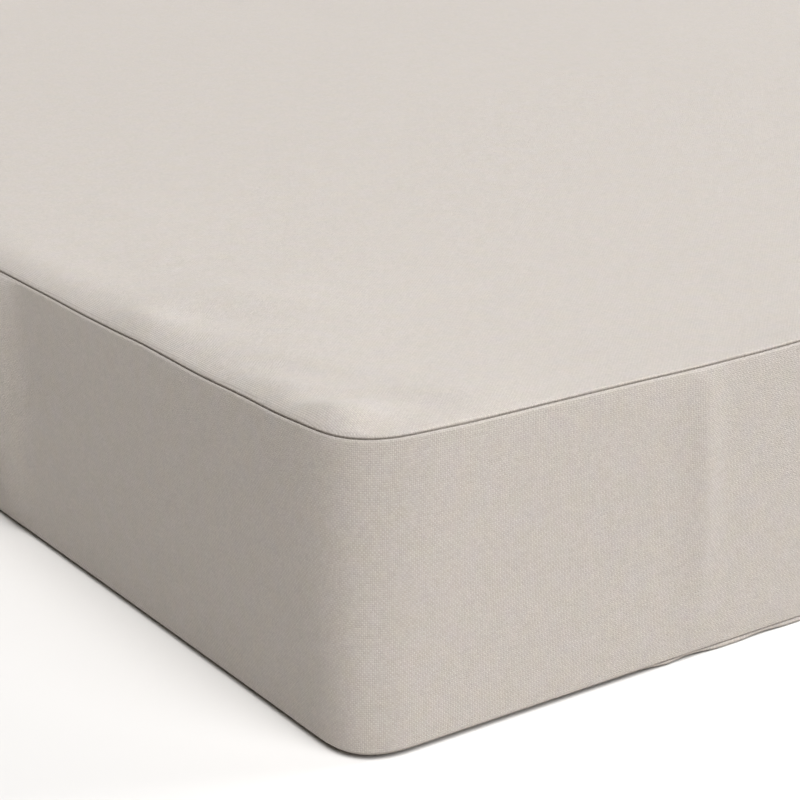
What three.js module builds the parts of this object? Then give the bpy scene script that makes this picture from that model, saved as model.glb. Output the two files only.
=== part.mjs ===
// Back cushion with a boxed edge, lying on its back with its large face up.
// Millimetres, +Z up. The origin is on the surface, under the middle of the cushion.
// X runs along the longer side. The band round the sides is sewn to an upper and a lower panel,
// and the three, with what fills them, are one solid.
import * as THREE from 'three';

// Size, measured between the seams.
const LENGTH = 800;
const WIDTH = 640;
const BAND_HEIGHT = 80;
const SEAM_LIFT = 4; // the lower seam above the surface
const HALF_LENGTH = LENGTH / 2;
const HALF_WIDTH = WIDTH / 2;

// Upright corners: the seam leaves its side this far from where the sides would meet. At the
// foot it turns on a circle, squareness 2, and at the top it turns later and sharper.
const TOP_CORNER = 48;
const TOP_SQUARENESS = 5;
const FOOT_CORNER = 13;
const FOOT_SQUARENESS = 2;

// Drawn-in sides: how far the middle of a side lies inside the line between its corners.
const PULL_LONG_SIDE = 3;
const PULL_SHORT_SIDE = 2.5;

// Upper panel: it rolls up out of the seam and then crowns slowly to its middle.
const LONG_SIDE_ROLL = 3.2;
const SHORT_SIDE_ROLL = 0.6;
const ROLL_WIDTH = 28;
const ROLL_POWER = 4;
const FOLD_HOLD = 4; // folds grow from the seam over this length
const CROWN = 5;
const CROWN_POWER = 2.2;

// Seams: the cloth on each side of a seam turns round into it on a small radius.
const SEAM_TURN = 0.9;
const SEAM_TURN_WIDTH = 0.8;

// Band: it swells a little between its seams.
const BAND_SWELL = 1;
const BAND_SWELL_WIDTH = 8;

// Lower panel: it comes down from its seam to a flat base this far inside it.
const BASE_INSET = 20;

// The mesh has a line this far in from an edge, and each step inwards is wider by the growth.
const FIRST_STEP = 2;
const STEP_GROWTH = 1.6;
const BAND_ROWS = [0, 2, 6, 14, 27, 40, 53, 66, 74, 78, 80];
const BASE_LOOPS = [2, 6, 12, BASE_INSET];

// Folds of the upper panel, measured from an upright corner: along the long seam, in from that
// seam, the fold's turn from the long seam in degrees, half its length, half its width, and its
// rise, which is negative for a hollow.
const PANEL_FOLDS = [
  { along: 9, inward: 3, turn: 3, length: 26, width: 7, rise: 1.3 },
  { along: 41, inward: 12, turn: -26, length: 18, width: 5, rise: 0.4 },
  { along: 48, inward: 15, turn: -15, length: 40, width: 8, rise: -0.4 },
  { along: 64, inward: 21, turn: -29, length: 24, width: 5, rise: 0.2 },
  { along: 114, inward: 18, turn: -28, length: 19, width: 7, rise: -0.6 },
  { along: 115, inward: 41, turn: -27, length: 24, width: 10, rise: 0.8 },
  { along: 121, inward: 49, turn: -55, length: 40, width: 14, rise: 0.5 },
  { along: 122, inward: 11, turn: 85, length: 17, width: 12, rise: 0.9 },
  { along: 173, inward: 22, turn: -9, length: 40, width: 14, rise: -0.4 },
  { along: 230, inward: 60, turn: -30, length: 16, width: 9, rise: 0.35 },
];

// Creases of the band, measured from an upright corner along its side, and up from the lower
// seam: half the length, half the width, and how far they stand out, negative for a trough.
const SHORT_SIDE_CREASES = [
  { along: 103, height: 46, length: 28, width: 4, rise: -0.8 },
  { along: 109.5, height: 46, length: 28, width: 4, rise: 0.5 },
];
const LONG_SIDE_CREASES = [
  { along: 176, height: 48, length: 34, width: 5, rise: 0.7 },
];

// Lower panel: short swags of cloth that hang just under the seam of the short side.
const SWAGS = [
  { along: 98, length: 9, drop: 1.8 },
  { along: 119, length: 11, drop: 2 },
  { along: 140, length: 9, drop: 1.6 },
];
const SWAG_REACH = 5; // how far in from the seam a swag is felt

// Each upright corner has these folds, as strong as this. The signs give its side in X and Y.
const CORNERS = [
  { x: 1, y: -1, strength: 1 },
  { x: -1, y: -1, strength: 0.6 },
  { x: 1, y: 1, strength: 0.5 },
  { x: -1, y: 1, strength: 0.8 },
];

const bell = (t) => Math.exp(-t * t);
const settle = (distance, width) => 1 - Math.exp(-distance / width);

// A smooth rise that is 1 at the middle of an elongated fold and dies away round it.
function foldShape(fold, along, inward) {
  const turn = THREE.MathUtils.degToRad(fold.turn);
  const a = along - fold.along;
  const b = inward - fold.inward;
  const lengthwise = a * Math.cos(turn) + b * Math.sin(turn);
  const crosswise = -a * Math.sin(turn) + b * Math.cos(turn);
  return fold.rise * bell(lengthwise / fold.length) * bell(crosswise / fold.width);
}

// Height of the upper panel over its seam, at a point of the panel's rectangle.
function panelRise(x, y) {
  const fromShort = HALF_LENGTH - Math.abs(x);
  const fromLong = HALF_WIDTH - Math.abs(y);
  const inset = Math.min(fromShort, fromLong);
  if (inset <= 0) return 0;
  const longShare = fromShort ** 2 / (fromShort ** 2 + fromLong ** 2);
  const rollHeight = THREE.MathUtils.lerp(SHORT_SIDE_ROLL, LONG_SIDE_ROLL, longShare);
  const roll = rollHeight * (1 - (1 - Math.min(1, inset / ROLL_WIDTH)) ** ROLL_POWER);
  const crownX = 1 - (Math.abs(x) / HALF_LENGTH) ** CROWN_POWER;
  const crownY = 1 - (Math.abs(y) / HALF_WIDTH) ** CROWN_POWER;
  let folds = 0;
  for (const corner of CORNERS) {
    const along = HALF_LENGTH - corner.x * x;
    const inward = HALF_WIDTH - corner.y * y;
    for (const fold of PANEL_FOLDS) folds += corner.strength * foldShape(fold, along, inward);
  }
  const held = settle(inset, FOLD_HOLD);
  return SEAM_TURN * settle(inset, SEAM_TURN_WIDTH) + roll + CROWN * crownX * crownY + held * folds;
}

// How far the band stands outside its seams, at a height over the lower one.
function bandSwell(x, y, onLongSide, height) {
  const fromSeam = Math.min(height, BAND_HEIGHT - height);
  const turn = SEAM_TURN * settle(fromSeam, SEAM_TURN_WIDTH);
  const swell = BAND_SWELL * settle(fromSeam, BAND_SWELL_WIDTH);
  let creases = 0;
  for (const corner of CORNERS) {
    const along = onLongSide ? HALF_LENGTH - corner.x * x : HALF_WIDTH - corner.y * y;
    const sameSide = onLongSide ? corner.y * y > 0 : corner.x * x > 0;
    for (const crease of onLongSide ? LONG_SIDE_CREASES : SHORT_SIDE_CREASES) {
      const across = bell((along - crease.along) / crease.width);
      const upright = bell((height - crease.height) / crease.length);
      if (sameSide) creases += corner.strength * crease.rise * across * upright;
    }
  }
  return turn + swell + creases * settle(fromSeam, SEAM_TURN_WIDTH * 4);
}

// How far the lower panel hangs under its seam, at this inset from it.
function basePanelDrop(x, y, onLongSide, inset) {
  const slope = SEAM_LIFT * Math.sin((Math.PI / 2) * Math.min(1, inset / BASE_INSET));
  let swags = 0;
  for (const corner of CORNERS) {
    const along = HALF_WIDTH - corner.y * y;
    if (onLongSide || corner.x * x < 0) continue;
    for (const swag of SWAGS) {
      swags += corner.strength * swag.drop * bell((along - swag.along) / (swag.length / 1.6));
    }
  }
  const near = bell((inset - BASE_LOOPS[0]) / SWAG_REACH);
  return Math.min(SEAM_LIFT, slope + swags * near);
}

// Moves a point on the edge of a sharp-cornered rectangle on to the same edge with its corners
// rounded, draws the sides in, and gives the outward direction there. The corner is a curve of
// this reach and squareness.
function roundedPoint(x, y, inset, reach, squareness) {
  const a = HALF_LENGTH - inset;
  const b = HALF_WIDTH - inset;
  const fromCorner = a - Math.abs(x) + (b - Math.abs(y));
  const onLongSide = b - Math.abs(y) < a - Math.abs(x);
  const span = TOP_CORNER - inset;
  const apex = reach * (1 - 2 ** (-1 / squareness));
  const along = fromCorner < span ? apex + (1 - apex / span) * fromCorner : fromCorner;
  const u = Math.max(0, reach - along) / (reach || 1);
  const v = (1 - u ** squareness) ** (1 / squareness);
  const cut = reach * (1 - v);
  const outAlong = u ** (squareness - 1);
  const outAcross = v ** (squareness - 1);
  const size = Math.hypot(outAlong, outAcross);
  const pullX = (PULL_SHORT_SIDE / HALF_LENGTH) * (1 - (y / HALF_WIDTH) ** 2);
  const pullY = (PULL_LONG_SIDE / HALF_WIDTH) * (1 - (x / HALF_LENGTH) ** 2);
  return {
    x: Math.sign(x) * (a - (onLongSide ? along : cut)) * (1 - pullX),
    y: Math.sign(y) * (b - (onLongSide ? cut : along)) * (1 - pullY),
    outX: (Math.sign(x) * (onLongSide ? outAlong : outAcross)) / size,
    outY: (Math.sign(y) * (onLongSide ? outAcross : outAlong)) / size,
    onLongSide,
  };
}

// Mesh lines across the panel, close together at both edges.
function meshLines(half) {
  const fromEdge = [];
  for (let distance = 0, step = FIRST_STEP; distance < half - step / 2; step += STEP_GROWTH) {
    fromEdge.push(distance);
    distance += step;
  }
  const low = fromEdge.map((d) => d - half);
  const high = fromEdge.map((d) => half - d).reverse();
  return [...low, 0, ...high];
}

// The cushion's closed surface: the upper panel's grid, rows of band under its edge, loops of
// the lower panel, and the flat base as a fan round its middle.
function cushionGeometry() {
  const xs = meshLines(HALF_LENGTH);
  const ys = meshLines(HALF_WIDTH);
  const columns = xs.length;
  const lastX = columns - 1;
  const lastY = ys.length - 1;
  const points = [];
  const faces = [];
  const addPoint = (x, y, z) => points.push(x, y, z) / 3 - 1;
  const addQuad = (a, b, c, d) => faces.push(a, b, c, a, c, d);

  for (const y of ys) {
    for (const x of xs) {
      const inset = Math.min(HALF_LENGTH - Math.abs(x), HALF_WIDTH - Math.abs(y));
      const place = roundedPoint(x, y, inset, Math.max(0, TOP_CORNER - inset), TOP_SQUARENESS);
      addPoint(place.x, place.y, SEAM_LIFT + BAND_HEIGHT + panelRise(x, y));
    }
  }
  for (let j = 0; j < lastY; j += 1) {
    for (let i = 0; i < lastX; i += 1) {
      const corner = j * columns + i;
      addQuad(corner, corner + 1, corner + 1 + columns, corner + columns);
    }
  }

  // The panel's edge as one loop, anticlockwise from above.
  const edge = [];
  for (let i = 0; i < lastX; i += 1) edge.push([i, 0]);
  for (let j = 0; j < lastY; j += 1) edge.push([lastX, j]);
  for (let i = lastX; i > 0; i -= 1) edge.push([i, lastY]);
  for (let j = lastY; j > 0; j -= 1) edge.push([0, j]);
  const joinLoops = (upper, lower) => {
    for (let k = 0; k < edge.length; k += 1) {
      const next = (k + 1) % edge.length;
      addQuad(upper[k], lower[k], lower[next], upper[next]);
    }
  };

  let loop = edge.map(([i, j]) => j * columns + i);
  for (const height of [...BAND_ROWS].reverse().slice(1)) {
    const share = THREE.MathUtils.smoothstep(height, 0, BAND_HEIGHT);
    const reach = THREE.MathUtils.lerp(FOOT_CORNER, TOP_CORNER, share);
    const squareness = THREE.MathUtils.lerp(FOOT_SQUARENESS, TOP_SQUARENESS, share);
    const row = edge.map(([i, j]) => {
      const place = roundedPoint(xs[i], ys[j], 0, reach, squareness);
      const swell = bandSwell(xs[i], ys[j], place.onLongSide, height);
      const x = place.x + place.outX * swell;
      const y = place.y + place.outY * swell;
      return addPoint(x, y, SEAM_LIFT + height);
    });
    joinLoops(loop, row);
    loop = row;
  }

  for (const inset of BASE_LOOPS) {
    const shrinkX = (HALF_LENGTH - inset) / HALF_LENGTH;
    const shrinkY = (HALF_WIDTH - inset) / HALF_WIDTH;
    const row = edge.map(([i, j]) => {
      const [x, y] = [xs[i] * shrinkX, ys[j] * shrinkY];
      const place = roundedPoint(x, y, inset, FOOT_CORNER, FOOT_SQUARENESS);
      const drop = basePanelDrop(xs[i], ys[j], place.onLongSide, inset);
      return addPoint(place.x, place.y, SEAM_LIFT - drop);
    });
    joinLoops(loop, row);
    loop = row;
  }
  const middle = addPoint(0, 0, 0);
  for (let k = 0; k < edge.length; k += 1) {
    faces.push(loop[k], middle, loop[(k + 1) % edge.length]);
  }

  const geometry = new THREE.BufferGeometry();
  geometry.setAttribute('position', new THREE.Float32BufferAttribute(points, 3));
  geometry.setIndex(faces);
  geometry.computeVertexNormals();
  return geometry;
}

const cloth = new THREE.MeshStandardMaterial({ color: 0xd8d0ca, roughness: 0.9, metalness: 0 });
const cushion = new THREE.Mesh(cushionGeometry(), cloth);
cushion.name = 'cushion';

const part = new THREE.Group();
part.add(cushion);

export default part;
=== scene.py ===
"""Back cushion: the sewn cover of a box-edged cushion, lying on its back on a pale floor."""

import math

import bpy
import numpy as np
from bpy.props import FloatProperty, FloatVectorProperty, IntProperty, PointerProperty
from bpy.types import Operator, Panel, PropertyGroup
from mathutils import Matrix, Vector


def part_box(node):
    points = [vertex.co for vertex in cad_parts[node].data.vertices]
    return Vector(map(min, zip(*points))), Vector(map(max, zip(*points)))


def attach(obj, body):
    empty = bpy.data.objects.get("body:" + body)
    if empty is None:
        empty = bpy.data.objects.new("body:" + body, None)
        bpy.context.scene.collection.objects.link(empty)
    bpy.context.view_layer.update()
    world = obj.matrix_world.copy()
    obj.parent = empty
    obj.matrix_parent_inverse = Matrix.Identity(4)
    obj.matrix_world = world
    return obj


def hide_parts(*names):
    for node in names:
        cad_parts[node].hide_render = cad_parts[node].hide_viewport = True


bl_info = {
    "name": "Back Cushion",
    "version": (1, 0, 0),
    "blender": (4, 5, 0),
    "location": "View3D > Sidebar > Cushion",
    "description": "Makes a box-edged back cushion with its cloth, its seams and a studio floor",
    "category": "Add Mesh",
}

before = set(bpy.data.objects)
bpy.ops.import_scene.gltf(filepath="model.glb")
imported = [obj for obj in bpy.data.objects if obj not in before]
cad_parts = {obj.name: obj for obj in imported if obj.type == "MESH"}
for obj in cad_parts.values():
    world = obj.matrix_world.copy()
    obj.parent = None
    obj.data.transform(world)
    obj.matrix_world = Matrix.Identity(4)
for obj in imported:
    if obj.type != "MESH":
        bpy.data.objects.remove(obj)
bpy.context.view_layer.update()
CAD_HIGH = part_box("cushion")[1]
MM = 0.001

# Both seams lie this far inside the solid's sides, and the lower one this far over the floor.
SEAM_TO_SIDE = 1.6 * MM
SEAM_TO_FLOOR = 1.6 * MM
BAND_HEIGHT = 80 * MM

# Points nearer than this to a seam or a side count as on it.
ON_EDGE = 1 * MM


# Tables of folds


def table(columns, rows):
    """Rows of millimetres and degrees as dictionaries, by the names of the columns."""
    return [dict(zip(columns.split(), row)) for row in rows]


# Folds of the upper panel, from an upright corner: along the long seam, in from it, turn from
# the long seam in degrees, half length, half width, and rise (negative is a hollow).
PANEL_FOLDS = table(
    "along inward turn length width rise",
    [
        (9, 38, 0, 22, 24, 1.6),
        (9, 22, 90, 14, 6, -0.4),
        (12, 7, 0, 8, 5, 0.8),
        (18, 16, 3, 18, 12, 0.75),
        (20, 5, 3, 11, 8, 0.5),
        (23, 15, -52, 18, 7, -1.2),
        (27, 10, -60, 9, 5, -0.25),
        (34, 20, -35, 14, 8, -0.2),
        (35, 3, 0, 7, 6, 0.8),
        (41, 12, -26, 18, 5, 0.4),
        (48, 15, -15, 40, 8, -0.4),
        (50, 12, -20, 12, 6, -0.3),
        (64, 21, -29, 24, 5, 0.2),
        (114, 18, -28, 19, 7, -0.6),
        (115, 41, -27, 24, 10, 0.8),
        (114, 6, -8, 13, 5, 0.65),
        (121, 49, -55, 40, 14, 0.5),
        (122, 11, 85, 17, 12, 0.9),
        (173, 22, -9, 40, 14, -0.4),
        (230, 60, -30, 16, 9, 0.35),
    ],
)

# Upright ridges of the band, from an upright corner along its side and up from the lower seam:
# half length, half width, and how far they stand out.
SHORT_SIDE_RIDGES = table("along height length width rise", [(109.2, 54, 42, 4.6, 1.4)])
LONG_SIDE_RIDGES = table("along height length width rise", [(196.5, 50, 48, 10, 5.2)])

# Waves of the upper seam, from an upright corner along its side: half length, and rise.
LONG_SEAM_WAVES = table(
    "along length rise",
    [(20, 10, 0.24), (58, 9, 0.08), (80, 15, -0.35), (107, 12, 0.25), (145, 16, -0.22), (196, 24, 0.45)],
)
SHORT_SEAM_WAVES = table(
    "along length rise",
    [(19, 7, 0.14), (50, 12, -0.04), (76, 16, -0.06), (106, 17, -0.28), (150, 14, 0.42)],
)

# Swags of the lower panel that show under the seam of a short side, from an upright corner:
# half length, and how full they are.
SWAGS = table("along length share", [(99, 5, 0.7), (121, 10, 1.2), (146, 11, 1.2)])

# Soft lights of the studio: the way each comes from, in degrees round from X and above the
# floor, with its power, its spread in degrees and its colour.
LAMPS = table(
    "name round height power spread colour",
    [
        ("back_light", 90, 20, 4.45, 50, "#fafcff"),
        ("right_light", 0, 50, 2.08, 50, "#f4f8ff"),
        ("high_light", 330, 65, 2.7, 50, "#ffffff"),
    ],
)

# Each upright corner has these folds, as strong as this and so many times as large. The signs
# give its side in X and Y. The band's ridges and the ripples of the settled cloth have their own
# strength there.
CORNERS = table(
    "x y strength ridge size ripple",
    [
        (1, -1, 1, 1, 1, 0.1),
        (-1, -1, 0.6, 0.25, 1.25, 1),
        (1, 1, 0.5, 0.4, 0.8, 1),
        (-1, 1, 0.8, 0.15, 1.1, 1),
    ],
)

# Steps of the mesh lines from a lip into the cloth of a panel, and from the lower panel's turn
# to the flat base. The band has only the first few of a panel's steps.
FACE_STEPS = np.array([0.5, 0.8, 1.2, 1.6, 2, 2.4, 2.7]) * MM
FOOT_STEPS = np.array([0.6, 1.1, 1.8, 2.6, 3.6, 4.6, 5.7]) * MM
BAND_STEPS = 6

# The fine cover has this many lines on a lip, and even steps that widen past the corners.
LIP_LINES = 7
NEAR_STEP = 3 * MM
FAR_STEP = 10 * MM
NEAR_END = 250 * MM

# The copy that settles reaches its flat base in one step.
SETTLING_FOOT_STEP = 19 * MM

# Degrees that cloth turns on a lip, from its face into the seam.
LIP_TURN = 135


# Settings


def length(name, description, default_mm, **more):
    """A length property with its default in millimetres."""
    return FloatProperty(
        name=name,
        description=description,
        default=default_mm * MM,
        min=0,
        unit="LENGTH",
        precision=5,
        **more,
    )


def colour(name, description, default_hex):
    """A colour property with its default as an sRGB hex value."""
    return FloatVectorProperty(
        name=name,
        description=description,
        default=linear(default_hex),
        subtype="COLOR",
        size=3,
        min=0,
        max=1,
    )


def linear(hex_value):
    """Turns an sRGB hex value to linear red, green and blue."""
    channels = [int(hex_value[i : i + 2], 16) / 255 for i in (1, 3, 5)]
    return [c / 12.92 if c <= 0.04045 else ((c + 0.055) / 1.055) ** 2.4 for c in channels]


class CushionSizes(PropertyGroup):
    """Sizes of the cover."""

    half_length: FloatProperty(
        name="Half length",
        description="From the middle to the seam of a short side",
        default=CAD_HIGH.x - SEAM_TO_SIDE,
        unit="LENGTH",
    )
    half_width: FloatProperty(
        name="Half width",
        description="From the middle to the seam of a long side",
        default=CAD_HIGH.y - SEAM_TO_SIDE,
        unit="LENGTH",
    )
    top_corner: length("Upper corner", "Where the upper seam leaves its side for a corner", 48)
    top_squareness: FloatProperty(
        name="Upper corner squareness",
        description="2 turns the upper seam on a circle, and more turns it later and sharper",
        default=5,
        min=2,
    )
    foot_corner: length("Lower corner", "Where the lower seam leaves its side for a corner", 18)
    foot_squareness: FloatProperty(
        name="Lower corner squareness",
        description="2 turns the lower seam on a circle, and more turns it later and sharper",
        default=2.8,
        min=2,
    )
    pull_long: length("Long side pull", "How far the middle of a long side is drawn in", 3)
    pull_short: length("Short side pull", "How far the middle of a short side is drawn in", 2.5)
    long_roll: length("Long side roll", "Rise of the upper panel's edge at a long side", 3.2)
    short_roll: length("Short side roll", "Rise of the upper panel's edge at a short side", 0.15)
    roll_width: length("Roll width", "How far in from the seam the edge rolls up", 23)
    crown: length("Crown", "Rise of the upper panel from its edge to its middle", 5)
    band_swell: length("Band swell", "How far the band swells between its seams", 0.45)
    swell_width: length("Swell width", "How far from a seam the band swells", 8)
    foot_roll: length("Foot roll", "Radius of the lower panel's turn under its seam", 0.25)
    swag_roll: length("Swag roll", "Radius of that turn in a swag", 0.74)
    foot_gap: length("Foot gap", "How wide the lower seam is open under the band", 0.12)
    lip_reach: length("Seam lip", "How far the cloth stands out beside its seam", 0.74)
    lip_radius: length("Lip radius", "Radius on which cloth turns into the upper seam", 0.42)
    lip_gap: length("Lip gap", "How far a lip of the upper seam is held back from the other", 0.54)
    foot_lip: length("Lower lip radius", "Radius on which the band turns into the lower seam", 0.32)
    foot_lip_gap: length("Lower lip gap", "How far the band's lip is held over its seam", 0.36)
    seam_depth: length("Seam depth", "How deep the two cloths meet in their seam", 0.7)


class FillingSettings(PropertyGroup):
    """How the cloth settles on its filling."""

    cell: length("Cell", "Width of the cloth's cells while it settles, half a ripple", 26)
    fullness: FloatProperty(
        name="Fullness",
        description="Share of the crown that the cloth has before it settles",
        default=0.9,
        subtype="FACTOR",
    )
    excess: FloatProperty(
        name="Excess cloth",
        description="How much longer the cloth is than the form under it",
        default=0.006,
        subtype="FACTOR",
    )
    hold: FloatProperty(
        name="Hold",
        description="How firmly the filling keeps the cloth in its place",
        default=0.4,
        subtype="FACTOR",
    )
    pressure: FloatProperty(
        name="Pressure", description="Push of the filling on the cloth", default=4
    )
    frames: IntProperty(name="Frames", description="Steps of the simulation", default=20)
    share: FloatProperty(
        name="Share",
        description="Share of the cloth's movement that shows as ripples",
        default=0.4,
        subtype="FACTOR",
    )
    cap: length("Cap", "The most that a ripple may rise or sink", 0.8)
    seed: IntProperty(name="Seed", description="Seed of the cloth's first unevenness", default=7)


class ClothColours(PropertyGroup):
    """Colours of the yarns."""

    warp: colour("Warp yarn", "The threads that run along the width", "#afa79e")
    weft: colour("Weft yarn", "The threads that run along the length", "#a69e96")
    thread: colour("Sewing thread", "The thread of the seams", "#a69d95")


class WeaveSizes(PropertyGroup):
    """Sizes of the weave and of the sewing."""

    warp_pitch: length("Warp pitch", "From one warp thread to the next", 0.52)
    weft_pitch: length("Weft pitch", "From one weft thread to the next", 0.544)
    relief: length("Weave relief", "Height of a thread over the gap beside it", 0.15)
    crossing_tone: FloatProperty(
        name="Crossing tone",
        description="How much lighter or darker one crossing is than the next",
        default=0.11,
        subtype="FACTOR",
    )
    # Painted shade: the cloth's colour is darkened in the gaps between its threads.
    painted_gap_shade: FloatProperty(
        name="Gap tone",
        description="How much darker the cloth is between its threads",
        default=0.16,
        subtype="FACTOR",
    )
    stitch_pitch: length("Stitch pitch", "From one stitch to the next", 3)
    stitch_crossing: length("Stitch crossing", "Length of thread from one lip to the other", 0.45)
    stitch_depth: length("Stitch depth", "How deep the stitches lie in a seam", 0.3)
    thread_radius: length("Thread radius", "Radius of the sewing thread", 0.12)
    seed: IntProperty(name="Seed", description="Seed of what is uneven in the stitches", default=7)


class StageSettings(PropertyGroup):
    """Floor, light and camera."""

    floor: colour("Floor", "Colour of the studio floor", "#dfdcd8")
    focal_mm: FloatProperty(
        name="Focal length",
        description="Focal length of the camera on a 36 mm sensor",
        default=99.615,
        unit="CAMERA",
    )


# Shape of the cover


def bell(t):
    """1 at 0, and dying away on both sides."""
    return np.exp(-t * t)


def freedom(distance, width):
    """How free the cloth is at a distance from where it is held: 0 there, and nearly 1 a few
    widths away."""
    return 1 - np.exp(-np.maximum(distance, 0) / width)


def fold_shape(fold, along, inward):
    """A smooth rise at an elongated fold, which dies away round it."""
    turn = math.radians(fold["turn"])
    a = along - fold["along"] * MM
    b = inward - fold["inward"] * MM
    lengthwise = a * math.cos(turn) + b * math.sin(turn)
    crosswise = -a * math.sin(turn) + b * math.cos(turn)
    shape = bell(lengthwise / (fold["length"] * MM)) * bell(crosswise / (fold["width"] * MM))
    return fold["rise"] * MM * shape


class CushionForm:
    """The cushion's shape, worked out from its sizes. A place on it is given on a sharp-cornered
    rectangle between the seams, with X along the longer side."""

    CROWN_POWER = 1.8
    ROLL_POWER = 4

    # How far from a seam its waves die away and the folds of a panel and of the band are free.
    WAVE_REACH = 18 * MM
    PANEL_HOLD = 4 * MM
    BAND_HOLD = 3 * MM

    # Ripples are this strong between the corners, and reach this far from them.
    LEAST_RIPPLE = 0.05
    RIPPLE_REACH = 230 * MM

    # The lower panel's turn has its middle this share of its radius outside a line that is
    # tucked in under the seam.
    FOOT_SHARE = 0.67
    FOOT_TUCK = 0.53 * MM

    def __init__(self, sizes):
        self.sizes = sizes
        self.a = sizes.half_length
        self.b = sizes.half_width
        self.ripples = None

    def corner_curve(self, share):
        """Reach and squareness of the corners, from the lower seam at 0 to the upper at 1."""
        sizes = self.sizes
        reach = sizes.foot_corner + (sizes.top_corner - sizes.foot_corner) * share
        more = (sizes.top_squareness - sizes.foot_squareness) * share
        return reach, sizes.foot_squareness + more

    def rounded(self, x, y, inset, reach, squareness):
        """Moves places on the edge of a sharp-cornered rectangle on to the same edge with round
        corners and drawn-in sides. Gives the points and their outward directions."""
        a, b = self.a - inset, self.b - inset
        from_corner = a - np.abs(x) + b - np.abs(y)
        long_side = b - np.abs(y) < a - np.abs(x)
        span = np.maximum(self.sizes.top_corner - inset, 1e-9)
        apex = reach * (1 - 2 ** (-1 / squareness))
        along = np.where(from_corner < span, apex + (1 - apex / span) * from_corner, from_corner)
        u = np.clip(1 - along / np.maximum(reach, 1e-9), 0, 1)
        v = (1 - u**squareness) ** (1 / squareness)
        cut = reach * (1 - v)
        out_along, out_across = u ** (squareness - 1), v ** (squareness - 1)
        size = np.hypot(out_along, out_across)
        out_x = np.where(long_side, out_along, out_across) / size * np.sign(x)
        out_y = np.where(long_side, out_across, out_along) / size * np.sign(y)
        px = (a - np.where(long_side, along, cut)) * np.sign(x)
        py = (b - np.where(long_side, cut, along)) * np.sign(y)
        px = px * (1 - self.sizes.pull_short / self.a * (1 - (y / self.b) ** 2))
        py = py * (1 - self.sizes.pull_long / self.b * (1 - (x / self.a) ** 2))
        return np.stack([px, py], -1), np.stack([out_x, out_y], -1)

    def from_corner(self, corner, x, y):
        """Distances from the two sides that meet at an upright corner, by its folds' size."""
        size = corner["size"]
        return (self.a - corner["x"] * x) / size, (self.b - corner["y"] * y) / size

    def long_side_share(self, x, y):
        """1 beside a long side and 0 beside a short side."""
        from_short = np.maximum(self.a - np.abs(x), 1e-6)
        from_long = np.maximum(self.b - np.abs(y), 1e-6)
        return from_short**2 / (from_short**2 + from_long**2)

    def seam_wave(self, x, y):
        """How far the upper seam lies over or under its level."""
        share = self.long_side_share(x, y)
        wave = np.zeros_like(x)
        for corner in CORNERS:
            from_short, from_long = self.from_corner(corner, x, y)
            sides = ((share, from_short, LONG_SEAM_WAVES), (1 - share, from_long, SHORT_SEAM_WAVES))
            for part, along, waves in sides:
                for row in waves:
                    shape = bell((along - row["along"] * MM) / (row["length"] * MM))
                    wave += part * corner["strength"] * row["rise"] * MM * shape
        return wave

    def ripple_strength(self, x, y):
        """The settled cloth is uneven round the corners and smooth in between."""
        strength = np.full_like(x, self.LEAST_RIPPLE)
        for corner in CORNERS:
            distance = np.hypot(self.a - corner["x"] * x, self.b - corner["y"] * y)
            strength += corner["ripple"] * bell(distance / self.RIPPLE_REACH)
        return strength

    def panel_rise(self, x, y, fullness=1.0):
        """Height of the upper panel over its seam."""
        sizes = self.sizes
        from_short = np.maximum(self.a - np.abs(x), 1e-6)
        from_long = np.maximum(self.b - np.abs(y), 1e-6)
        inset = np.minimum(from_short, from_long)
        share = self.long_side_share(x, y)
        height = sizes.short_roll + (sizes.long_roll - sizes.short_roll) * share
        roll = height * (1 - (1 - np.minimum(1, inset / sizes.roll_width)) ** self.ROLL_POWER)
        crown_x = (1 - (x / self.a) ** 2) ** self.CROWN_POWER
        crown_y = (1 - (y / self.b) ** 2) ** self.CROWN_POWER
        folds = np.zeros_like(roll)
        for corner in CORNERS:
            along, inward = self.from_corner(corner, x, y)
            for fold in PANEL_FOLDS:
                folds += corner["strength"] * fold_shape(fold, along, inward)
        if self.ripples:
            folds += self.ripple_strength(x, y) * self.ripples.over_panel(x, y)
        free = freedom(inset, self.PANEL_HOLD)
        return roll + fullness * sizes.crown * crown_x * crown_y + free * folds

    def band_swell(self, x, y, height):
        """How far the band stands out of its seams, at a height over the lower one."""
        sizes = self.sizes
        from_seam = np.minimum(height, BAND_HEIGHT - height)
        share = self.long_side_share(x, y)
        folds = np.zeros_like(height)
        for corner in CORNERS:
            from_short, from_long = self.from_corner(corner, x, y)
            on_long = share * (corner["y"] * y > 0)
            on_short = (1 - share) * (corner["x"] * x > 0)
            sides = ((on_long, from_short, LONG_SIDE_RIDGES), (on_short, from_long, SHORT_SIDE_RIDGES))
            for part, along, ridges in sides:
                for ridge in ridges:
                    across = bell((along - ridge["along"] * MM) / (ridge["width"] * MM))
                    upright = bell((height - ridge["height"] * MM) / (ridge["length"] * MM))
                    folds += part * corner["ridge"] * ridge["rise"] * MM * across * upright
        if self.ripples:
            folds += self.ripple_strength(x, y) * self.ripples.over_band(x, y, height)
        swell = sizes.band_swell * freedom(from_seam, sizes.swell_width)
        return swell + folds * freedom(from_seam, self.BAND_HOLD)

    def foot_radius(self, x, y):
        """Radius on which the lower panel turns under its seam."""
        swags = np.zeros_like(x)
        for corner in CORNERS:
            from_short, from_long = self.from_corner(corner, x, y)
            here = from_short < np.minimum(from_long, ON_EDGE)
            for swag in SWAGS:
                shape = bell((from_long - swag["along"] * MM) / (swag["length"] * MM))
                swags += here * corner["strength"] * swag["share"] * shape
        sizes = self.sizes
        return sizes.foot_roll + (sizes.swag_roll - sizes.foot_roll) * np.minimum(1, swags)


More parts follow.
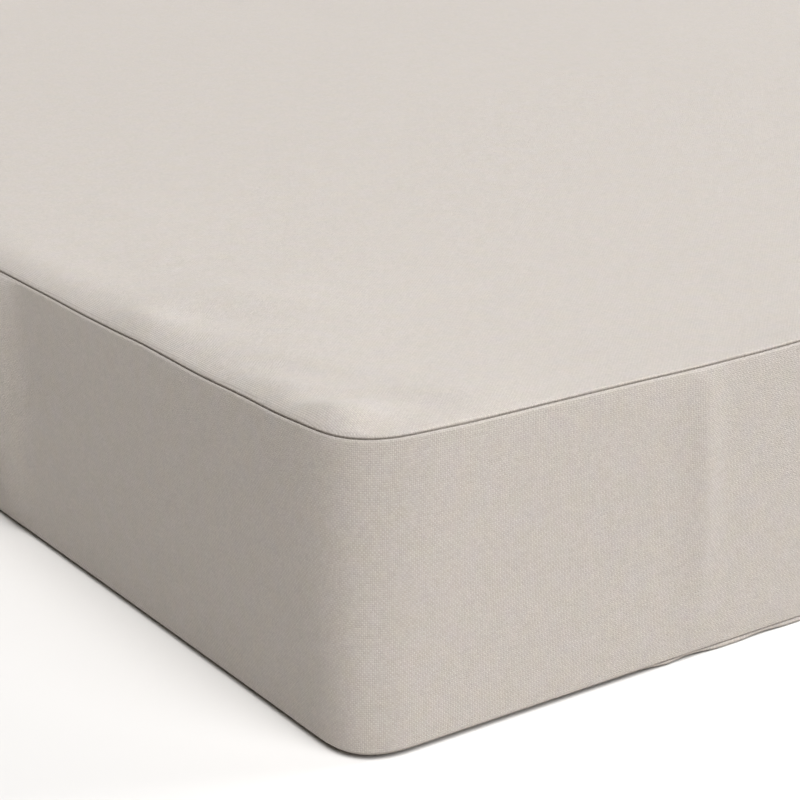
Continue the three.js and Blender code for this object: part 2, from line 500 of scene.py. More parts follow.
class MeshLines:
    """Where the mesh lines of a cover run. The rings are the insets of the lines that run round
    the upper panel, and the stations are where lines meet its seam, from an upright corner. The
    drops are the band's lines, down from the upper seam. The first lines of each belong to a
    lip, the cloth's turn into its seam."""

    def __init__(self, form, lip_steps, near_steps, step, far_step, foot_steps):
        sizes = form.sizes
        self.lip_out, self.lip_back = lip_section(sizes, sizes.lip_radius, sizes.lip_gap, lip_steps)
        self.foot_out, foot_back = lip_section(sizes, sizes.foot_lip, sizes.foot_lip_gap, lip_steps)
        lip_end = self.lip_back[-1]
        rings = np.concatenate([self.lip_back, lip_end + np.cumsum(near_steps)])
        stations = np.linspace(0, rings[-1], len(rings))
        stations = extend(stations, NEAR_END, step)
        self.stations_y = extend(stations, form.b, far_step)
        self.stations_x = extend(self.stations_y, form.a, far_step)
        self.rings = np.concatenate([rings, self.stations_y[len(rings) :]])
        near = np.cumsum(near_steps[:BAND_STEPS])
        halves = [
            extend(np.concatenate([back, back[-1] + near]), BAND_HEIGHT / 2, step)
            for back in (self.lip_back, foot_back)
        ]
        self.drops = np.concatenate([halves[0], BAND_HEIGHT - halves[1][-2::-1]])
        self.foot_angles = np.radians(np.linspace(LIP_TURN, -90, 2 * lip_steps))
        self.foot_insets = np.cumsum(foot_steps)


def lip_section(sizes, radius, gap, steps):
    """One lip of a seam, from the stitches round to the cloth's face: how far each point stands
    out of the seam's line, and how far it lies back from that line into its own cloth."""
    angles = np.radians(np.linspace(LIP_TURN, 0, steps))
    out = sizes.lip_reach - radius * (1 - np.cos(angles))
    back = gap - radius * np.sin(angles)
    return np.append(-sizes.seam_depth, out), np.append(sizes.seam_depth, back)


def extend(lines, end, step):
    """Adds nearly even steps to a row of lines, up to an end."""
    count = max(1, round((end - lines[-1]) / step))
    return np.append(lines, np.linspace(lines[-1], end, count + 1)[1:])


def both_ways(count):
    """Index from the nearest end of a row of lines, and the sign of its half."""
    index = np.arange(2 * count - 1)
    return np.minimum(index, 2 * count - 2 - index), np.sign(index - (count - 1))


class Cover:
    """The cover as one closed surface: its upper panel, its band, its lower panel's turn and its
    flat base. Each point also has its place on the sharp-cornered rectangle with its height over
    the lower seam, and each quad its places on the flat cloth."""

    def __init__(self, form, lines, fullness=1.0):
        self.form, self.lines = form, lines
        self.points, self.places, self.quads, self.cloth = [], [], [], []
        self.count = 0
        self.edge_x, self.edge_y, self.corners = edge_places(form, lines)
        upper_seam = self.add_upper_panel(fullness)
        lower_seam, lower_flat = self.add_band(upper_seam)
        self.base = self.add_lower_panel(lower_seam, lower_flat)
        self.points, self.places = np.concatenate(self.points), np.concatenate(self.places)
        self.quads, self.cloth = np.concatenate(self.quads), np.concatenate(self.cloth)

    def add_points(self, flat, z, x, y, height):
        """Adds a block of points with their places, and gives their numbers."""
        self.points.append(np.concatenate([flat, z[..., None]], -1).reshape(-1, 3))
        self.places.append(np.stack([x, y, 0 * x + height], -1).reshape(-1, 3))
        numbers = self.count + np.arange(z.size).reshape(z.shape)
        self.count += z.size
        return numbers

    def add_quads(self, numbers, cloth):
        """Adds the quads between the rows of a block of points."""
        for picks, store in ((numbers, self.quads), (cloth, self.cloth)):
            quad = [picks[:-1, :-1], picks[:-1, 1:], picks[1:, 1:], picks[1:, :-1]]
            store.append(np.stack(quad, 2).reshape(-1, 4, *picks.shape[2:]))

    def add_upper_panel(self, fullness):
        """The upper panel. Gives the numbers of the points along its seam."""
        form, lines = self.form, self.lines
        kx, sign_x = both_ways(len(lines.stations_x))
        ky, sign_y = both_ways(len(lines.stations_y))
        from_short, from_long = np.meshgrid(kx, ky)
        ring = np.minimum(from_short, from_long)
        inset, station = lines.rings[ring], lines.stations_x[ring]
        reach_x = np.maximum(form.a - station, 1e-9)
        reach_y = np.maximum(form.b - station, 1e-9)
        share_x = 1 - (lines.stations_x[from_short] - station) / reach_x
        share_y = 1 - (lines.stations_x[from_long] - station) / reach_y
        x = sign_x * (form.a - inset) * share_x
        y = sign_y[:, None] * (form.b - inset) * share_y
        reach, squareness = form.corner_curve(1)
        flat, _ = form.rounded(x, y, inset, np.maximum(0, reach - inset), squareness)
        lip_end = len(lines.lip_out) - 1
        rise = np.where(ring < lip_end, 0, form.panel_rise(x, y, fullness))
        rise = rise + form.seam_wave(x, y) * bell(inset / form.WAVE_REACH)
        z = SEAM_TO_FLOOR + BAND_HEIGHT + lines.lip_out[np.minimum(ring, lip_end)] + rise
        numbers = self.add_points(flat, z, x, y, BAND_HEIGHT)
        self.add_quads(numbers, flat)
        loop_x, loop_y = edge_loop(len(kx), len(ky))
        return numbers[loop_y, loop_x]

    def add_band(self, upper_seam):
        """The band, from the upper seam down. Gives the numbers of the points along the lower
        seam, and where they lie from above."""
        form, lines = self.form, self.lines
        height = BAND_HEIGHT - lines.drops[:, None] + 0 * self.edge_x
        x, y = self.edge_x + 0 * height, self.edge_y + 0 * height
        share = np.clip(height / BAND_HEIGHT, 0, 1)
        curve = form.corner_curve(share * share * (3 - 2 * share))
        flat, outward = form.rounded(x, y, 0, *curve)
        lip_end = len(lines.lip_out) - 1
        row = np.arange(len(lines.drops))[:, None]
        from_seam = np.minimum(row, len(lines.drops) - 1 - row)
        on_lip = np.minimum(from_seam, lip_end)
        lip = np.where(row == from_seam, lines.lip_out[on_lip], lines.foot_out[on_lip])
        stand = lip + np.where(from_seam < lip_end, 0, form.band_swell(x, y, height))
        flat = flat + outward * stand[..., None]
        z = SEAM_TO_FLOOR + height + form.seam_wave(x, y) * share**2
        z[-1] = SEAM_TO_FLOOR
        numbers = self.add_points(flat[1:], z[1:], x[1:], y[1:], height[1:])
        numbers = np.concatenate([upper_seam[None], numbers])
        down = np.append(0, np.cumsum(np.hypot(np.diff(lines.drops), np.diff(stand.mean(1)))))
        along = length_round(flat, self.corners)
        cloth = np.stack([along, 0 * along - down[:, None]], -1)
        self.add_quads(closed(numbers)[::-1], cloth[::-1])
        return numbers[-1], flat[-1]

    def add_lower_panel(self, seam, seam_flat):
        """The lower panel, from its seam down round its turn and in to the base. Gives the base
        as one face, with its places on the cloth."""
        form, lines = self.form, self.lines
        numbers, flats = [seam], [seam_flat]
        radius = form.foot_radius(self.edge_x, self.edge_y)
        middle = form.FOOT_SHARE * radius - form.FOOT_TUCK
        turns = [(angle, 0) for angle in lines.foot_angles]
        for angle, inset in turns + [(-math.pi / 2, inset) for inset in lines.foot_insets]:
            run = inset / lines.foot_insets[-1]
            x = self.edge_x * (form.a - inset) / form.a
            y = self.edge_y * (form.b - inset) / form.b
            flat, outward = form.rounded(x, y, inset, *form.corner_curve(0))
            stand = (1 - run) * (middle + radius * math.cos(angle))
            drop = form.sizes.foot_gap + radius * (1 - math.sin(angle))
            z = SEAM_TO_FLOOR - drop - (SEAM_TO_FLOOR - drop) * math.sin(math.pi / 2 * run)
            flats.append(flat + outward * stand[:, None])
            height = -inset - ON_EDGE
            numbers.append(self.add_points(flats[-1], z, self.edge_x, self.edge_y, height))
        cloth = closed(np.array(flats))[::-1] * (-1, 1)
        self.add_quads(closed(np.array(numbers))[::-1], cloth)
        return numbers[-1][::-1], flats[-1][::-1] * (-1, 1)


def edge_places(form, lines):
    """Places round the edge of the sharp-cornered rectangle, anticlockwise from above from the
    middle of the far long side, and which of them are its corners."""
    kx, sign_x = both_ways(len(lines.stations_x))
    ky, sign_y = both_ways(len(lines.stations_y))
    loop_x, loop_y = edge_loop(len(kx), len(ky))
    x = sign_x[loop_x] * (form.a - lines.stations_x[kx[loop_x]])
    y = sign_y[loop_y] * (form.b - lines.stations_x[ky[loop_y]])
    return x, y, np.flatnonzero((kx[loop_x] == 0) & (ky[loop_y] == 0))


def edge_loop(columns, rows):
    """Column and row of each point round a grid's edge, anticlockwise from above, from the
    middle of its last row."""
    i, j = np.arange(columns - 1), np.arange(rows - 1)
    loop_x = np.concatenate([i, 0 * j + columns - 1, columns - 1 - i, 0 * j])
    loop_y = np.concatenate([0 * i, j, 0 * i + rows - 1, rows - 1 - j])
    start = len(i) + len(j) + len(i) // 2
    return np.roll(loop_x, -start), np.roll(loop_y, -start)


def closed(rows):
    """Rows of a loop with the first point again at the end."""
    return np.concatenate([rows, rows[:, :1]], 1)


def length_round(flat, corners):
    """Length of cloth round the band to each point. A row is eased along each side, so that
    threads stand upright at the corners although the rows differ in length."""
    steps = np.diff(closed(flat), axis=1)
    run = np.cumsum(np.hypot(steps[..., 0], steps[..., 1]), 1)
    run = np.concatenate([0 * run[:, :1], run], 1)
    knots = np.concatenate([[0], corners, [run.shape[1] - 1]])
    middle = run[len(run) // 2]
    return np.array([np.interp(row, row[knots], middle[knots]) for row in run])


def make_mesh(name, cover):
    """A mesh with smooth faces and a UV map in metres of cloth."""
    base_face, base_cloth = cover.base
    mesh = bpy.data.meshes.new(name)
    loops = np.concatenate([cover.quads.reshape(-1), base_face])
    starts = np.arange(len(cover.quads) + 1) * 4
    mesh.vertices.add(len(cover.points))
    mesh.vertices.foreach_set("co", cover.points.astype(np.float32).reshape(-1))
    mesh.loops.add(len(loops))
    mesh.loops.foreach_set("vertex_index", loops.astype(np.int32))
    mesh.polygons.add(len(starts))
    mesh.polygons.foreach_set("loop_start", starts.astype(np.int32))
    layer = mesh.uv_layers.new(name="cloth_metres")
    cloth = np.concatenate([cover.cloth.reshape(-1, 2), base_cloth])
    layer.data.foreach_set("uv", cloth.astype(np.float32).reshape(-1))
    mesh.update(calc_edges=True)
    mesh.validate()
    mesh.shade_smooth()
    return mesh


# The cloth settles


def curve_weights(knots, wanted):
    """The four knots beside each wanted place, and their weights on a smooth curve."""
    place = np.interp(wanted, knots, np.arange(len(knots)))
    first = np.clip(np.floor(place).astype(int), 0, len(knots) - 2)
    t = place - first
    weights = (2 * t**2 - t - t**3, 2 - 5 * t**2 + 3 * t**3, t + 4 * t**2 - 3 * t**3, t**3 - t**2)
    index = first[..., None] + np.arange(-1, 3)
    return np.clip(index, 0, len(knots) - 1), np.stack(weights, -1) / 2


def smooth_value(values, row_knots, column_knots, row, column):
    """Values of a coarse grid at any places between its rows and columns."""
    i, by_row = curve_weights(row_knots, row)
    j, by_column = curve_weights(column_knots, column)
    return np.einsum("...ij,...i,...j->...", values[i[..., :, None], j[..., None, :]], by_row, by_column)


class Ripples:
    """Unevenness of the cover over its filling. A coarse copy of the cover is held at its seams,
    has a little more cloth than its form, and settles under the push of the filling."""

    # The first unevenness of the cloth, and how far from a seam the ripples are free.
    UNEVENNESS = 0.5 * MM
    PANEL_HOLD = 15 * MM
    BAND_HOLD = 12 * MM

    def __init__(self, form, filling, scene):
        self.form, self.filling = form, filling
        lines = MeshLines(form, 0, [], filling.cell, filling.cell, [SETTLING_FOOT_STEP])
        cover = Cover(form, lines, filling.fullness)
        moved = self.settle(cover, scene)

        kx, sign_x = both_ways(len(lines.stations_x))
        ky, sign_y = both_ways(len(lines.stations_y))
        panel = len(kx) * len(ky)
        self.panel_x = sign_x * (form.a - lines.stations_x[kx])
        self.panel_y = sign_y * (form.b - lines.stations_x[ky])
        self.panel = self.limited(moved[:panel, 2].reshape(len(ky), len(kx)))

        loop = len(cover.edge_x)
        rows = len(lines.drops) - 1
        x, y, height = cover.places[panel : panel + rows * loop].T
        curve = form.corner_curve(height / BAND_HEIGHT)
        _, outward = form.rounded(x, y, 0, *curve)
        stand = (moved[panel : panel + rows * loop, :2] * outward).sum(1).reshape(rows, loop)
        around, whole = self.way_round(cover.edge_x, cover.edge_y), 4 * (form.a + form.b)
        self.around = np.concatenate([around[-2:] - whole, around, around[:2] + whole])
        self.heights = height.reshape(rows, loop)[::-1, 0]
        stand = self.limited(stand)[::-1]
        self.band = np.concatenate([stand[:, -2:], stand, stand[:, :2]], 1)

    def settle(self, cover, scene):
        """Runs the simulation, and gives how far each point moves."""
        filling = self.filling
        mesh = make_mesh("settling_cover", cover)
        piece = bpy.data.objects.new("settling_cover", mesh)
        scene.collection.objects.link(piece)
        x, y, height = cover.places.T
        inset = np.minimum(self.form.a - np.abs(x), self.form.b - np.abs(y))
        on_panel = (inset > ON_EDGE) & (height > BAND_HEIGHT - ON_EDGE)
        free = on_panel | ((height > ON_EDGE) & (height < BAND_HEIGHT - ON_EDGE))
        held = piece.vertex_groups.new(name="held")
        held.add(np.flatnonzero(~free).tolist(), 1.0, "REPLACE")
        held.add(np.flatnonzero(free).tolist(), filling.hold, "REPLACE")

        start = np.zeros(len(cover.places) * 3, np.float32)
        mesh.vertices.foreach_get("co", start)
        start = start.reshape(-1, 3)
        uneven = np.random.default_rng(filling.seed).normal(0, self.UNEVENNESS, len(start))
        start[:, 2] += uneven * on_panel
        mesh.vertices.foreach_set("co", start.reshape(-1))

        cloth = piece.modifiers.new("settle", "CLOTH")
        cloth.point_cache.frame_start, cloth.point_cache.frame_end = 1, filling.frames
        settings = cloth.settings
        settings.quality = 5
        settings.mass = 0.3
        settings.bending_stiffness = 5
        settings.vertex_group_mass = "held"
        settings.use_pressure = True
        settings.uniform_pressure_force = filling.pressure
        settings.shrink_min = -filling.excess
        settings.effector_weights.gravity = 0
        for number in range(1, filling.frames + 1):
            scene.frame_set(number)
        evaluated = piece.evaluated_get(bpy.context.evaluated_depsgraph_get())
        end = np.zeros(len(start) * 3, np.float32)
        evaluated.data.vertices.foreach_get("co", end)
        bpy.data.objects.remove(piece)
        bpy.data.meshes.remove(mesh)
        scene.frame_set(1)
        return end.reshape(-1, 3) - start

    def limited(self, moved):
        """The part of a movement that shows as ripples, kept under the cap."""
        cap = self.filling.cap
        return cap * np.tanh(self.filling.share * (moved - moved.mean()) / cap)

    def way_round(self, x, y):
        """Way round the cover from the middle of its far long side, anticlockwise from above."""
        a, b = self.form.a, self.form.b
        long_side = b - np.abs(y) < a - np.abs(x)
        on_long = np.where(y > 0, -x, 2 * a + 2 * b + x)
        on_short = np.where(x < 0, a + b - y, 3 * a + 3 * b + y)
        return np.where(long_side, on_long, on_short) % (4 * (a + b))

    def over_panel(self, x, y):
        """Rise of the upper panel."""
        inset = np.minimum(self.form.a - np.abs(x), self.form.b - np.abs(y))
        lift = smooth_value(self.panel, self.panel_y, self.panel_x, y, x)
        return lift * freedom(inset, self.PANEL_HOLD)

    def over_band(self, x, y, height):
        """How far the band is pushed out."""
        from_seam = np.minimum(height, BAND_HEIGHT - height)
        stand = smooth_value(self.band, self.heights, self.around, height, self.way_round(x, y))
        return stand * freedom(from_seam, self.BAND_HOLD)


# Materials


# How often each pattern of the cloth turns in a metre. The drift of the threads turns once in
# 17 mm, and the clouds of colour once in 7 mm. Fibre ends are a quarter of a millimetre wide,
# coarser than real ones, so that they show.
DRIFTS_PER_METRE = 60.0
CLOUDS_PER_METRE = 150.0
FIBRES_PER_METRE = 4000.0

# How strongly they show. A cloud multiplies red, green and blue by its start and up to this much
# more. The rises are shares of the weave's relief.
DRIFT = 0.6 * MM
SLUB_TONE = 0.03
CLOUD_START = (0.98, 0.99, 0.95)
CLOUD_RANGE = (0.04, 0.02, 0.1)
WARP_RISE = 0.8
FIBRE_RISE = 0.25

# A crossing is an arch, and a power under 1 flattens it.
CROSSING_POWER = 0.6

# The bands of this scale come every 0.7 mm, as the plies of the sewing thread do.
PLY_SCALE = 900.0


def add_node(tree, kind, settings=None, **inputs):
    """Adds a node. Settings are its properties. Inputs are values, sockets or nodes by socket
    name, where i0, i1 and so on name sockets by place. A node gives its first output in use."""
    node = tree.nodes.new(kind)
    for key, value in (settings or {}).items():
        setattr(node, key, value)
    for key, value in inputs.items():
        place = key[1:]
        socket = node.inputs[int(place)] if key[0] == "i" and place.isdigit() else node.inputs[key]
        if isinstance(value, bpy.types.Node):
            value = next(output for output in value.outputs if output.enabled)
        if isinstance(value, bpy.types.NodeSocket):
            tree.links.new(value, socket)
        else:
            socket.default_value = value
    return node


def empty_material(name):
    """A material with an empty tree of nodes, and the tree."""
    material = bpy.data.materials.new(name)
    material.use_nodes = True
    material.node_tree.nodes.clear()
    return material, material.node_tree


def woven_canvas(colours, weave):
    """Solution-dyed canvas in plain weave: each thread passes over one and under the next, so
    the eye sees a fine check of rounded crossings, matt, with a faint haze of fibre ends."""
    material, tree = empty_material("plain_woven_canvas")
    flat = {"noise_dimensions": "2D"}
    times = {"operation": "MULTIPLY"}
    times_plus = {"operation": "MULTIPLY_ADD"}

    # Threads run nearly straight, and drift by up to a third of a millimetre.
    uv = add_node(tree, "ShaderNodeUVMap", {"uv_map": "cloth_metres"})
    drift = add_node(
        tree, "ShaderNodeTexNoise", flat, Vector=uv, Scale=DRIFTS_PER_METRE, Detail=1.0
    )
    drift = add_node(
        tree, "ShaderNodeVectorMath", {"operation": "SUBTRACT"},
        i0=drift.outputs["Color"], i1=(0.5, 0.5, 0.5),
    )
    place = add_node(
        tree, "ShaderNodeVectorMath", times_plus, i0=drift, i1=(DRIFT, DRIFT, 0), i2=uv
    )
    threads = add_node(
        tree, "ShaderNodeVectorMath", {"operation": "DIVIDE"},
        i0=place, i1=(weave.warp_pitch, weave.weft_pitch, 1),
    )

    # The two rows of waves make the check: 1 where the warp is on top, -1 where the weft is.
    half_turns = add_node(tree, "ShaderNodeVectorMath", times, i0=threads, i1=(math.pi, math.pi, 0))
    waves = add_node(tree, "ShaderNodeVectorMath", {"operation": "SINE"}, i0=half_turns)
    waves = add_node(tree, "ShaderNodeSeparateXYZ", i0=waves)
    check = add_node(tree, "ShaderNodeMath", times, i0=waves.outputs[0], i1=waves.outputs[1])
    crossing = add_node(tree, "ShaderNodeMath", {"operation": "ABSOLUTE"}, i0=check)
    crossing = add_node(tree, "ShaderNodeMath", {"operation": "POWER"}, i0=crossing, i1=CROSSING_POWER)
    warp_up = add_node(tree, "ShaderNodeMath", times_plus, i0=check, i1=0.5, i2=0.5)
    yarn = add_node(
        tree, "ShaderNodeMix", {"data_type": "RGBA"},
        Factor=warp_up, i6=(*colours.weft, 1), i7=(*colours.warp, 1),
    )

    # Tones multiply: painted shade between threads, darker where the threads dip apart, one tone for
    #     # each crossing, slubs five threads long both ways, and soft clouds that are a little warmer or
    #     cooler.
    tones = [(crossing, weave.painted_gap_shade)]
    patches = (
        ((1, 1, 0), weave.crossing_tone),
        ((1, 0.2, 0), SLUB_TONE),
        ((0.2, 1, 0), SLUB_TONE),
    )
    for run, amount in patches:
        patch = add_node(tree, "ShaderNodeVectorMath", times, i0=threads, i1=run)
        patch = add_node(tree, "ShaderNodeVectorMath", {"operation": "FLOOR"}, i0=patch)
        tones.append((add_node(tree, "ShaderNodeTexWhiteNoise", flat, Vector=patch), amount))
    clouds = add_node(
        tree, "ShaderNodeTexNoise", flat, Vector=uv, Scale=CLOUDS_PER_METRE, Detail=2.0
    )
    clouds = add_node(
        tree, "ShaderNodeVectorMath", times_plus,
        i0=clouds.outputs["Color"], i1=CLOUD_RANGE, i2=CLOUD_START,
    )
    colour_now = add_node(tree, "ShaderNodeVectorMath", times, i0=yarn, i1=clouds)
    for source, amount in tones:
        tone = add_node(tree, "ShaderNodeMath", times_plus, i0=source, i1=amount, i2=1 - amount / 2)
        colour_now = add_node(
            tree, "ShaderNodeVectorMath", {"operation": "SCALE"}, i0=colour_now, Scale=tone
        )

    # Fibre ends stand out of the yarn.
    fibres = add_node(
        tree, "ShaderNodeTexNoise", flat, Vector=uv, Scale=FIBRES_PER_METRE, Detail=2.0
    )
    height = add_node(tree, "ShaderNodeMath", times_plus, i0=warp_up, i1=WARP_RISE, i2=crossing)
    height = add_node(tree, "ShaderNodeMath", times_plus, i0=fibres, i1=FIBRE_RISE, i2=height)
    bump = add_node(tree, "ShaderNodeBump", Strength=0.7, Distance=weave.relief, Height=height)
    shader = add_node(
        tree, "ShaderNodeBsdfPrincipled",
        Roughness=0.88, IOR=1.5,
        **{"Base Color": colour_now, "Normal": bump, "Specular IOR Level": 0.25,
           "Sheen Weight": 0.12, "Sheen Roughness": 0.5},
    )
    add_node(tree, "ShaderNodeOutputMaterial", Surface=shader)
    return material


def spun_polyester(colours):
    """Spun polyester sewing thread: three twisted plies, which the eye sees as slanting bands
    of light and shade on a dull, slightly hairy cord."""
    material, tree = empty_material("spun_polyester_thread")
    place = add_node(tree, "ShaderNodeTexCoord").outputs["Object"]
    plies = add_node(
        tree, "ShaderNodeTexWave", {"bands_direction": "DIAGONAL"},
        Vector=place, Scale=PLY_SCALE, Distortion=1.5,
    )
    # Painted light and shade: the plies' bands lighten and darken the thread's colour, as well as
    # bumping it.
    tone = add_node(tree, "ShaderNodeMath", {"operation": "MULTIPLY_ADD"}, i0=plies, i1=0.2, i2=0.9)
    shaded = add_node(
        tree, "ShaderNodeVectorMath", {"operation": "SCALE"}, i0=tuple(colours.thread), Scale=tone
    )
    bump = add_node(tree, "ShaderNodeBump", Strength=0.6, Distance=0.03 * MM, Height=plies)
    shader = add_node(
        tree, "ShaderNodeBsdfPrincipled",
        Roughness=0.7, IOR=1.54, **{"Base Color": shaded, "Normal": bump, "Sheen Weight": 0.1},
    )
    add_node(tree, "ShaderNodeOutputMaterial", Surface=shader)
    return material


# Stitches


def stitch_tree(material):
    """Geometry nodes that set a short bar of thread across a seam at even steps along it. The
    way across is stored on the seam's line."""
    tree = bpy.data.node_groups.new("stitch_row", "GeometryNodeTree")
    tree.interface.new_socket("Seam line", in_out="INPUT", socket_type="NodeSocketGeometry")
    for name in ("Pitch", "Crossing", "Thread radius"):
        tree.interface.new_socket(name, in_out="INPUT", socket_type="NodeSocketFloat")
    tree.interface.new_socket("Seed", in_out="INPUT", socket_type="NodeSocketInt")
    tree.interface.new_socket("Stitches", in_out="OUTPUT", socket_type="NodeSocketGeometry")
    given = add_node(tree, "NodeGroupInput").outputs
    line = add_node(tree, "GeometryNodeMeshToCurve", Mesh=given["Seam line"])
    line = add_node(
        tree, "GeometryNodeResampleCurve", {"mode": "LENGTH"}, Curve=line, Length=given["Pitch"]
    )
    bar = add_node(
        tree, "GeometryNodeMeshCylinder",
        Vertices=6, Radius=given["Thread radius"], Depth=given["Crossing"],
    )
    across = add_node(
        tree, "GeometryNodeInputNamedAttribute", {"data_type": "FLOAT_VECTOR"}, Name="across"
    )
    turn = add_node(tree, "FunctionNodeAlignRotationToVector", {"axis": "Z"}, Vector=across)
    size = add_node(tree, "FunctionNodeRandomValue", i2=0.85, i3=1.15, Seed=given["Seed"])
    stitches = add_node(
        tree, "GeometryNodeInstanceOnPoints", Points=line, Instance=bar, Rotation=turn, Scale=size
    )
    stitches = add_node(tree, "GeometryNodeRealizeInstances", Geometry=stitches)
    stitches = add_node(tree, "GeometryNodeSetMaterial", Geometry=stitches, Material=material)
    add_node(tree, "NodeGroupOutput", Stitches=stitches)
    return tree


def seam_line(form, lines, height, slant, depth):
    """Line of the stitches at a depth in a seam, and the way across it from lip to lip. The
    slant is 1 for the upper seam, which runs in and down, and 0 for the lower, which runs in."""
    x, y, _ = edge_places(form, lines)
    flat, outward = form.rounded(x, y, 0, *form.corner_curve(height / BAND_HEIGHT))
    z = SEAM_TO_FLOOR + height + slant * (form.seam_wave(x, y) - depth)
    points = np.concatenate([flat - depth * outward, z[:, None]], -1)
    return points, np.concatenate([slant * outward, -1 + 0 * z[:, None]], -1)


def stitch_row(name, points, across, weave, tree, scene):
    """The stitches of one seam as a plain mesh."""
    mesh = bpy.data.meshes.new(name + "_line")
    count = len(points)
    mesh.from_pydata(points.tolist(), [(k, (k + 1) % count) for k in range(count)], [])
    layer = mesh.attributes.new("across", "FLOAT_VECTOR", "POINT")
    layer.data.foreach_set("vector", across.astype(np.float32).reshape(-1))
    piece = bpy.data.objects.new(name, mesh)
    scene.collection.objects.link(piece)
    modifier = piece.modifiers.new("stitches", "NODES")
    modifier.node_group = tree
    values = {
        "Pitch": weave.stitch_pitch,
        "Crossing": weave.stitch_crossing,
        "Thread radius": weave.thread_radius,
        "Seed": weave.seed,
    }
    for item in tree.interface.items_tree:
        if item.in_out == "INPUT" and item.name in values:
            modifier[item.identifier] = values[item.name]
    evaluated = piece.evaluated_get(bpy.context.evaluated_depsgraph_get())
    piece.data = bpy.data.meshes.new_from_object(evaluated)
    piece.data.name = name
    piece.modifiers.clear()
    bpy.data.meshes.remove(mesh)
    return piece


# Operators


def cover_lines(form):
    """The mesh lines of the fine cover."""
    return MeshLines(form, LIP_LINES, FACE_STEPS, NEAR_STEP, FAR_STEP, FOOT_STEPS)


class CUSHION_OT_cover(Operator):
    """Make the cover from its panels and its band, and fill it"""

    bl_idname = "cushion.cover"
    bl_label = "Cover"

    def execute(self, context):
        scene = context.scene
        form = CushionForm(scene.cushion_sizes)
        form.ripples = Ripples(form, scene.cushion_filling, scene)
        mesh = make_mesh("back_cushion_cover", Cover(form, cover_lines(form)))
        piece = bpy.data.objects.new("back_cushion_cover", mesh)
        scene.collection.objects.link(piece)
        piece.data.materials.append(woven_canvas(scene.cushion_colours, scene.cushion_weave))
        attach(piece, "root")
        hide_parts("cushion")
        return {"FINISHED"}


class CUSHION_OT_stitches(Operator):
    """Make the stitches that close the upper and the lower seam"""

    bl_idname = "cushion.stitches"
    bl_label = "Stitches"

    def execute(self, context):
        scene = context.scene
        weave = scene.cushion_weave
        form = CushionForm(scene.cushion_sizes)
        lines = cover_lines(form)
        tree = stitch_tree(spun_polyester(scene.cushion_colours))
        seams = (("upper_seam_stitches", BAND_HEIGHT, 1), ("lower_seam_stitches", 0, 0))
        for name, height, slant in seams:
            points, across = seam_line(form, lines, height, slant, weave.stitch_depth)
            piece = stitch_row(name, points, across, weave, tree, scene)
            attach(piece, "root")
        return {"FINISHED"}


class CUSHION_OT_stage(Operator):
    """Make the floor, the lights and the camera"""

    bl_idname = "cushion.stage"
    bl_label = "Stage"

    def execute(self, context):
        scene = context.scene
        settings = scene.cushion_stage
        make_camera(scene, settings)
        make_floor(scene, settings)
        make_lights(scene)
        return {"FINISHED"}


def make_camera(scene, settings):
    """The camera. It looks a little down at a corner, more from a short side than a long one."""
    pitch, roll, azimuth = math.radians(18.354), math.radians(-0.806), math.radians(55.971)
    forward = Vector(
        (-math.sin(azimuth) * math.cos(pitch), math.cos(azimuth) * math.cos(pitch), -math.sin(pitch))
    )
    level = Vector((math.cos(azimuth), math.sin(azimuth), 0))
    upright = level.cross(forward)
    right = level * math.cos(roll) + upright * math.sin(roll)
    up = -level * math.sin(roll) + upright * math.cos(roll)
    place = Vector((804.1, -579.1, 253.2)) * MM
    camera = bpy.data.objects.new("camera", bpy.data.cameras.new("camera"))
    camera.data.sensor_width = 36
    camera.data.lens = settings.focal_mm
    camera.data.clip_start = 0.01
    axes = Matrix((right, up, -forward)).transposed().to_4x4()
    camera.matrix_world = Matrix.Translation(place) @ axes
    scene.collection.objects.link(camera)
    scene.camera = camera


def make_floor(scene, settings):
    """A wide floor, a hair under the cushion's base."""
    mesh = bpy.data.meshes.new("studio_floor")
    reach = 20
    z = -0.2 * MM
    corners = [(-reach, -reach, z), (reach, -reach, z), (reach, reach, z), (-reach, reach, z)]
    mesh.from_pydata(corners, [], [(0, 1, 2, 3)])
    floor = bpy.data.objects.new("studio_floor", mesh)
    scene.collection.objects.link(floor)
    # Background paper, rolled smooth: the eye sees no texture and hardly any gloss.
    material = bpy.data.materials.new("pale_paper")
    material.use_nodes = True
    shader = material.node_tree.nodes["Principled BSDF"]
    shader.inputs["Base Color"].default_value = (*settings.floor, 1)
    shader.inputs["Roughness"].default_value = 0.9
    shader.inputs["Specular IOR Level"].default_value = 0.1
    mesh.materials.append(material)


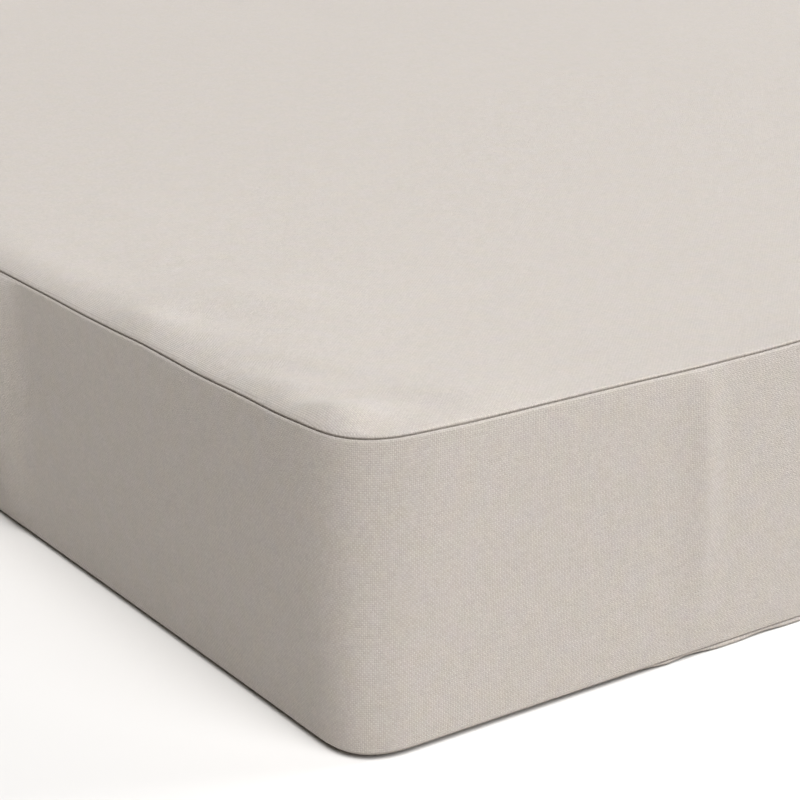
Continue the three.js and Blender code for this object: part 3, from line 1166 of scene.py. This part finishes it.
def make_lights(scene):
    """Soft distant lights. The faint world keeps the folds open."""
    scene.view_settings.view_transform = "Standard"
    world = bpy.data.worlds.new("studio")
    world.use_nodes = True
    background = world.node_tree.nodes["Background"]
    background.inputs["Color"].default_value = (1, 1, 1, 1)
    background.inputs["Strength"].default_value = 0.02
    scene.world = world
    for lamp in LAMPS:
        light = bpy.data.lights.new(lamp["name"], "SUN")
        light.energy = lamp["power"]
        light.angle = math.radians(lamp["spread"])
        light.color = linear(lamp["colour"])
        across = math.cos(math.radians(lamp["height"]))
        direction = Vector((
            across * math.cos(math.radians(lamp["round"])),
            across * math.sin(math.radians(lamp["round"])),
            math.sin(math.radians(lamp["height"])),
        ))
        piece = bpy.data.objects.new(lamp["name"], light)
        piece.rotation_euler = direction.to_track_quat("Z", "Y").to_euler()
        scene.collection.objects.link(piece)


class CUSHION_PT_panel(Panel):
    """The cushion's sizes, colours and pieces"""

    bl_label = "Back Cushion"
    bl_idname = "CUSHION_PT_panel"
    bl_space_type = "VIEW_3D"
    bl_region_type = "UI"
    bl_category = "Cushion"

    def draw(self, context):
        layout = self.layout
        for name, group in GROUPS.items():
            for setting in group.__annotations__:
                layout.prop(getattr(context.scene, name), setting)
        for operator in (CUSHION_OT_cover, CUSHION_OT_stitches, CUSHION_OT_stage):
            layout.operator(operator.bl_idname)


GROUPS = {
    "cushion_sizes": CushionSizes,
    "cushion_filling": FillingSettings,
    "cushion_colours": ClothColours,
    "cushion_weave": WeaveSizes,
    "cushion_stage": StageSettings,
}
CLASSES = (
    *GROUPS.values(),
    CUSHION_OT_cover,
    CUSHION_OT_stitches,
    CUSHION_OT_stage,
    CUSHION_PT_panel,
)


def register():
    """Makes the settings, the operators and the panel known."""
    for cls in CLASSES:
        bpy.utils.register_class(cls)
    for name, group in GROUPS.items():
        setattr(bpy.types.Scene, name, PointerProperty(type=group))


def unregister():
    """Takes them away again, the last one first."""
    for name in GROUPS:
        delattr(bpy.types.Scene, name)
    for cls in reversed(CLASSES):
        bpy.utils.unregister_class(cls)


def main():
    """Makes each piece in turn."""
    register()
    bpy.ops.cushion.cover()
    bpy.ops.cushion.stitches()
    bpy.ops.cushion.stage()


if __name__ == "__main__":
    main()
